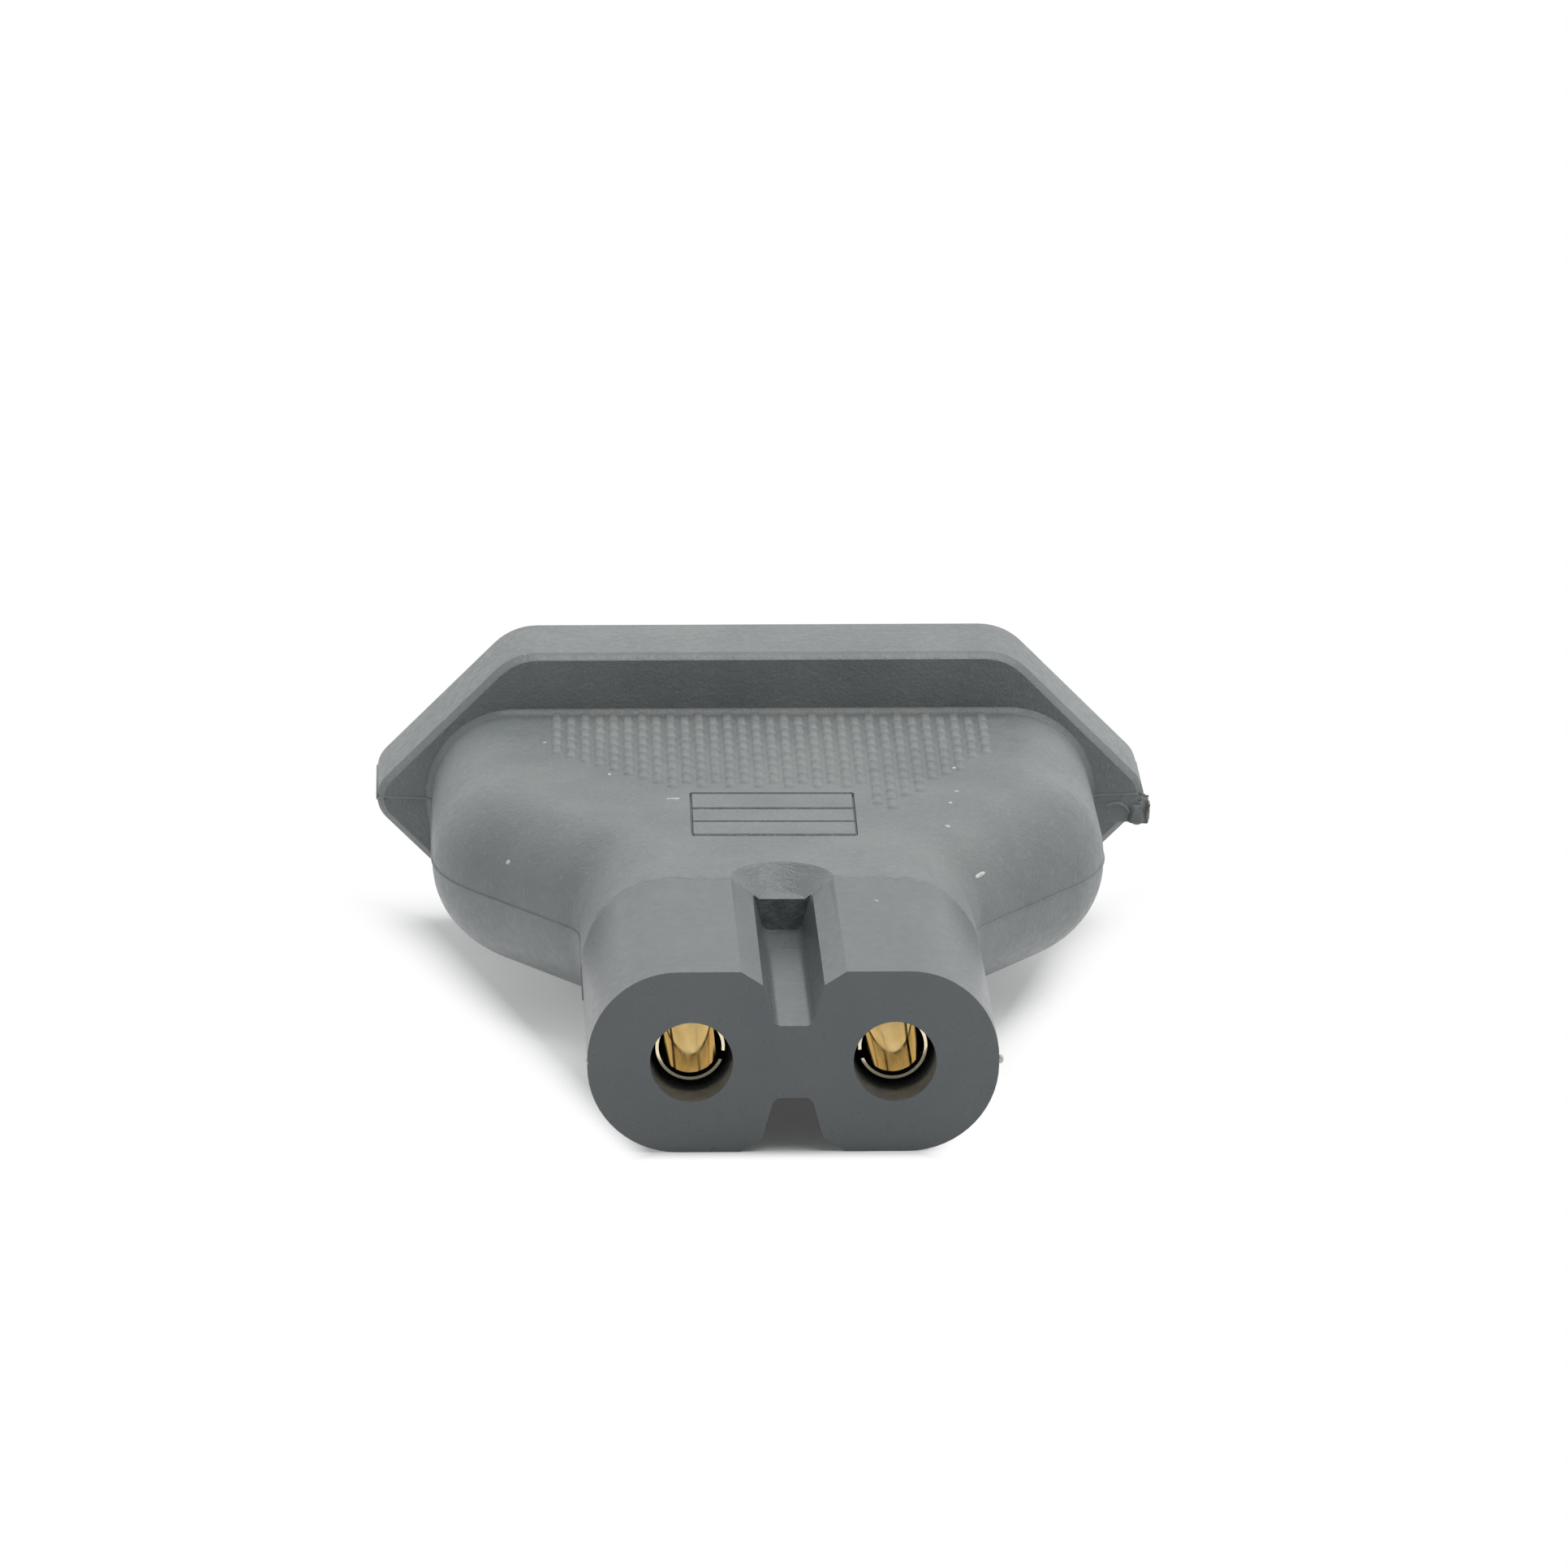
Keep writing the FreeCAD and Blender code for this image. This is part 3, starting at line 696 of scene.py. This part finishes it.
def contact_pinch(side, name, material):
    """The rolled sleeve's inner end, closed by a cap that is dished a very little."""
    bpy.ops.object.select_all(action="DESELECT")
    place = (side * CONTACT_HALF_PITCH, PINCH_START_Y, 0)
    turned = (math.radians(-90), 0, 0)
    bpy.ops.mesh.primitive_circle_add(
        vertices=PINCH_SIDES, radius=PINCH_RADIUS, fill_type="NGON", location=place, rotation=turned)
    cap = bpy.context.view_layer.objects.active
    cap.name = name
    cap.data.name = name
    settle(cap)
    edit(cap, "FACE")
    bpy.ops.mesh.select_all(action="SELECT")
    bpy.ops.mesh.inset(thickness=PINCH_INSET)
    bpy.ops.transform.translate(value=(0, PINCH_DEPTH, 0))
    bpy.ops.transform.resize(value=(PINCH_NARROWED, 1, 1))
    leave()
    wall = cap.modifiers.new("sheet", "SOLIDIFY")
    wall.thickness = PINCH_SHEET
    apply_modifiers(cap)
    merged(cap)
    only(cap)
    bpy.ops.object.shade_smooth_by_angle(angle=PINCH_CRISP_ANGLE)
    return fit_out(cap, material)


def lump(name, place, size, turn=None):
    """A rough pebble, to be worked further."""
    bpy.ops.object.select_all(action="DESELECT")
    bpy.ops.mesh.primitive_ico_sphere_add(subdivisions=2, radius=0.5, location=place)
    made = bpy.context.view_layer.objects.active
    made.name = name
    made.scale = size
    if turn is not None:
        made.rotation_mode = "QUATERNION"
        made.rotation_quaternion = turn
    settle(made)
    return made


def roughened(piece, grain, amount):
    """Breaks up a surface with cloudy dents and bumps."""
    clouds = bpy.data.textures.new(piece.name + "_clouds", "CLOUDS")
    clouds.noise_scale = grain
    dents = piece.modifiers.new("dents", "DISPLACE")
    dents.texture = clouds
    dents.texture_coords = "LOCAL"
    dents.strength = amount
    dents.mid_level = 0.5
    apply_modifiers(piece)
    bpy.data.textures.remove(clouds)


def thread(name, points, radius):
    """A thin round bead along a line of points."""
    line = bpy.data.curves.new(name, "CURVE")
    line.dimensions = "3D"
    line.bevel_depth = radius
    line.bevel_resolution = 2
    line.use_fill_caps = True
    spline = line.splines.new("NURBS")
    spline.points.add(len(points) - 1)
    for held, place in zip(spline.points, points):
        held.co = (*place, 1)
    spline.order_u = 3
    spline.use_endpoint_u = True
    made = bpy.data.objects.new(name, line)
    bpy.context.scene.collection.objects.link(made)
    only(made)
    bpy.ops.object.convert(target="MESH")
    return bpy.context.view_layer.objects.active


def gate_tear(material):
    """The torn gate stub: a ragged lump round the stub's end."""
    low = [m - w / 2 for m, w in zip(TEAR_MIDDLE, TEAR_SIZE)]
    high = [m + w / 2 for m, w in zip(TEAR_MIDDLE, TEAR_SIZE)]
    stub = block("gate_tear", low, high)
    edit(stub)
    bpy.ops.mesh.select_all(action="SELECT")
    bpy.ops.mesh.subdivide(number_cuts=TEAR_CUTS)
    bpy.ops.mesh.vertices_smooth(factor=0.5, repeat=TEAR_SMOOTHING)
    leave()
    roughened(stub, TEAR_GRAIN, TEAR_ROUGHNESS)
    only(stub)
    bpy.ops.object.shade_smooth()
    return fit_out(stub, material)


def gate_ridge(material):
    """The arched ridge that runs along the flange into the gate, and a whisker of flash above it."""
    whisker = thread("whisker", [(x * MM, y * MM, z * MM) for x, y, z in WHISKER], WHISKER_RADIUS)
    ridge_points = [(x * MM, FLANGE_FRONT_Y, z * MM) for x, z in GATE_RIDGE]
    ridge = thread("ridge", ridge_points, GATE_RIDGE_RADIUS)
    whole = joined([ridge, whisker], "gate_ridge")
    only(whole)
    bpy.ops.object.shade_smooth()
    return fit_out(whole, material)


def surface_flecks(skin, material):
    """Pale flecks of flash and dust, each lying on the surface under it."""
    made = []
    for x, y, length, width, turn in FLECKS:
        above = Vector((x * MM, y * MM, 2 * TOP_Z))
        hit = skin.ray_cast(above, Vector((0, 0, -1)))
        place = hit[1]
        normal = hit[2]
        along = Vector((math.cos(math.radians(turn)), math.sin(math.radians(turn)), 0))
        along = (along - normal * along.dot(normal)).normalized()
        lie = Matrix((along, normal.cross(along), normal)).transposed().to_quaternion()
        made.append(lump("fleck", place, (length * MM, width * MM, 2 * FLECK_HEIGHT), lie))
    flecks = joined(made, "surface_flecks")
    roughened(flecks, FLECK_GRAIN, FLECK_DENTS)
    return fit_out(flecks, material)


def flash_nubs(material):
    """Two ragged nubs of flash where the parting line meets the nose face."""
    right = lump("nub", NUB_RIGHT, NUB_SIZE)
    left = lump("nub", NUB_LEFT, [NUB_LEFT_SHARE * side for side in NUB_SIZE])
    nubs = joined([right, left], "flash_nubs")
    roughened(nubs, NUB_GRAIN, NUB_DENTS)
    only(nubs)
    bpy.ops.object.shade_smooth()
    return fit_out(nubs, material)


def mirrored_under(piece, name):
    """A copy of a piece turned over to the underside."""
    under = copy_of(piece, name)
    edit(under)
    bpy.ops.mesh.select_all(action="SELECT")
    bpy.ops.transform.resize(value=(1, 1, -1), center_override=(0, 0, 0))
    bpy.ops.mesh.flip_normals()
    leave()
    return under


def seen_directly(tree):
    """1 for what the camera, a mirror or a glass sees, 0 for light that falls on the object."""
    path = node(tree, "ShaderNodeLightPath")
    first = sum_of(tree, path.outputs["Is Camera Ray"], path.outputs["Is Glossy Ray"], "MAXIMUM")
    return sum_of(tree, first, path.outputs["Is Transmission Ray"], "MAXIMUM")


def pale_floor():
    """A wide pale table, tilted to carry the nose edge and the flange edge together.

    It looks plain white except in a fan under and behind the part, where its real shadow shows; the fan's
    outline and the white share mixed into it are painted, and set the shadow's edge and lightness.
    """
    run = (FLANGE_FRONT_Y + FLANGE_CHAMFER) - NOSE_FACE_Y
    tilt = math.atan2(FLANGE_BOTTOM_Z - NOSE_BOTTOM_Z, run)
    bpy.ops.object.select_all(action="DESELECT")
    edge = (0, NOSE_FACE_Y, NOSE_BOTTOM_Z)
    bpy.ops.mesh.primitive_plane_add(size=FLOOR_SIZE, location=edge, rotation=(tilt, 0, 0))
    floor = bpy.context.view_layer.objects.active
    floor.name = "pale_floor"
    material = bpy.data.materials.new("pale_floor")
    material.use_nodes = True
    tree = material.node_tree
    tree.nodes.clear()
    output = node(tree, "ShaderNodeOutputMaterial")
    cloth = node(tree, "ShaderNodeBsdfDiffuse")
    cloth.inputs["Color"].default_value = FLOOR_COLOUR
    glow = node(tree, "ShaderNodeEmission")
    glow.inputs["Color"].default_value = PLAIN_WHITE
    glow.inputs["Strength"].default_value = 1.0
    axes = node(tree, "ShaderNodeSeparateXYZ")
    wire(tree, place_mm(tree), axes.inputs["Vector"])
    behind_nose = sum_of(tree, axes.outputs["Y"], NOSE_FACE_Y / MM, "SUBTRACT")
    widening = sum_of(tree, behind_nose, SHADE_SPREAD, "MULTIPLY")
    half_width = sum_of(tree, widening, SHADE_NOSE_HALF_WIDTH)
    across = sum_of(tree, axes.outputs["X"], SHADE_MIDDLE_X, "SUBTRACT")
    aside = sum_of(tree, sum_of(tree, across, 0.0, "ABSOLUTE"), half_width, "DIVIDE")
    beside = graded(tree, aside, *SHADE_SIDE_FADE, 0.0, 1.0)
    ahead = graded(tree, behind_nose, *SHADE_FRONT_FADE, 1.0, 0.0)
    past = graded(tree, behind_nose, SHADE_LENGTH, SHADE_END, 0.0, 1.0)
    clear = sum_of(tree, sum_of(tree, beside, ahead, "MAXIMUM"), past, "MAXIMUM")
    # Painted shade: the real shadow is lifted towards white, less in the core under the part than at its
    # sides.
    core = graded(tree, aside, *SHADE_CORE_SPAN, SHADE_CORE, SHADE_LIFT)
    fade = sum_of(tree, clear, core, "MAXIMUM")
    seen = sum_of(tree, seen_directly(tree), fade, "MULTIPLY")
    mix = node(tree, "ShaderNodeMixShader")
    wire(tree, seen, mix.inputs[0])
    wire(tree, cloth.outputs[0], mix.inputs[1])
    wire(tree, glow.outputs[0], mix.inputs[2])
    wire(tree, mix.outputs[0], output.inputs["Surface"])
    floor.data.materials.append(material)
    settle(floor)
    return floor


def white_surround(front, back):
    """A white room that is dimmer on the camera's side than behind and beside the part."""
    world = bpy.data.worlds.new("white_surround")
    bpy.context.scene.world = world
    world.use_nodes = True
    tree = world.node_tree
    ground = tree.nodes["Background"]
    ground.inputs["Color"].default_value = ROOM_TINT
    place = node(tree, "ShaderNodeTexCoord")
    axes = node(tree, "ShaderNodeSeparateXYZ")
    wire(tree, place.outputs["Generated"], axes.inputs["Vector"])
    level = graded(tree, axes.outputs["Y"], -0.9, 0.2, front, back)
    seen = node(tree, "ShaderNodeBackground")
    seen.inputs["Color"].default_value = PLAIN_WHITE
    seen.inputs["Strength"].default_value = 1.0
    wire(tree, level, ground.inputs["Strength"])
    mix = node(tree, "ShaderNodeMixShader")
    wire(tree, seen_directly(tree), mix.inputs[0])
    wire(tree, ground.outputs[0], mix.inputs[1])
    wire(tree, seen.outputs[0], mix.inputs[2])
    wire(tree, mix.outputs[0], tree.nodes["World Output"].inputs["Surface"])


def softbox(name, place, aim, width, depth, watts, colour):
    """A wide soft lamp that looks at a point."""
    lamp = bpy.data.lights.new(name, "AREA")
    lamp.shape = "RECTANGLE"
    lamp.size = width
    lamp.size_y = depth
    lamp.energy = watts
    lamp.color = colour
    holder = bpy.data.objects.new(name, lamp)
    bpy.context.scene.collection.objects.link(holder)
    holder.location = place
    holder.rotation_euler = (Vector(aim) - Vector(place)).to_track_quat("-Z", "Y").to_euler()
    return holder


def photo_camera():
    """A long lens, a little above the part and almost straight in front of it."""
    lens = bpy.data.cameras.new("photo_camera")
    lens.sensor_width = CAMERA_SENSOR
    lens.lens = CAMERA_LENS
    lens.clip_start = 0.01
    lens.clip_end = 20.0
    camera = bpy.data.objects.new("photo_camera", lens)
    bpy.context.scene.collection.objects.link(camera)
    camera.location = CAMERA_PLACE
    turn = Matrix.Rotation(CAMERA_TURN, 4, "Z")
    tip = Matrix.Rotation(CAMERA_TIP, 4, "X")
    roll = Matrix.Rotation(CAMERA_ROLL, 4, "Z")
    camera.rotation_euler = (turn @ tip @ roll).to_euler()
    bpy.context.scene.camera = camera


plastic = moulded_plastic()
brass = contact_brass()
finishes = {
    "contact": brass,
    "plug_pin": pin_nickel(),
    "pin_sleeve": pin_insulation(),
    "lead": lead_copper(),
}
for side in ("left", "right"):
    for ending, material in finishes.items():
        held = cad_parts[side + "_" + ending]
        held.data.materials.clear()
        held.data.materials.append(material)

contact_pinch(-1, "left_contact_pinch", brass)
contact_pinch(1, "right_contact_pinch", brass)
parting_bead(plastic)
skin = moulded_skin(plastic)
flash = pale_flash()
surface_flecks(skin, flash)
flash_nubs(flash)
gate_tear(torn_plastic())
gate_ridge(plastic)
studs = stud_field("grip_studs_top", plastic)
fit_out(mirrored_under(studs, "grip_studs_under"), plastic)

pale_floor()
white_surround(ROOM_FRONT_LEVEL, ROOM_BACK_LEVEL)
softbox("ceiling_softbox", LAMP_PLACE, LAMP_AIM, LAMP_WIDTH, LAMP_DEPTH, LAMP_WATTS, LAMP_TINT)
photo_camera()
bpy.context.scene.view_settings.view_transform = "Standard"
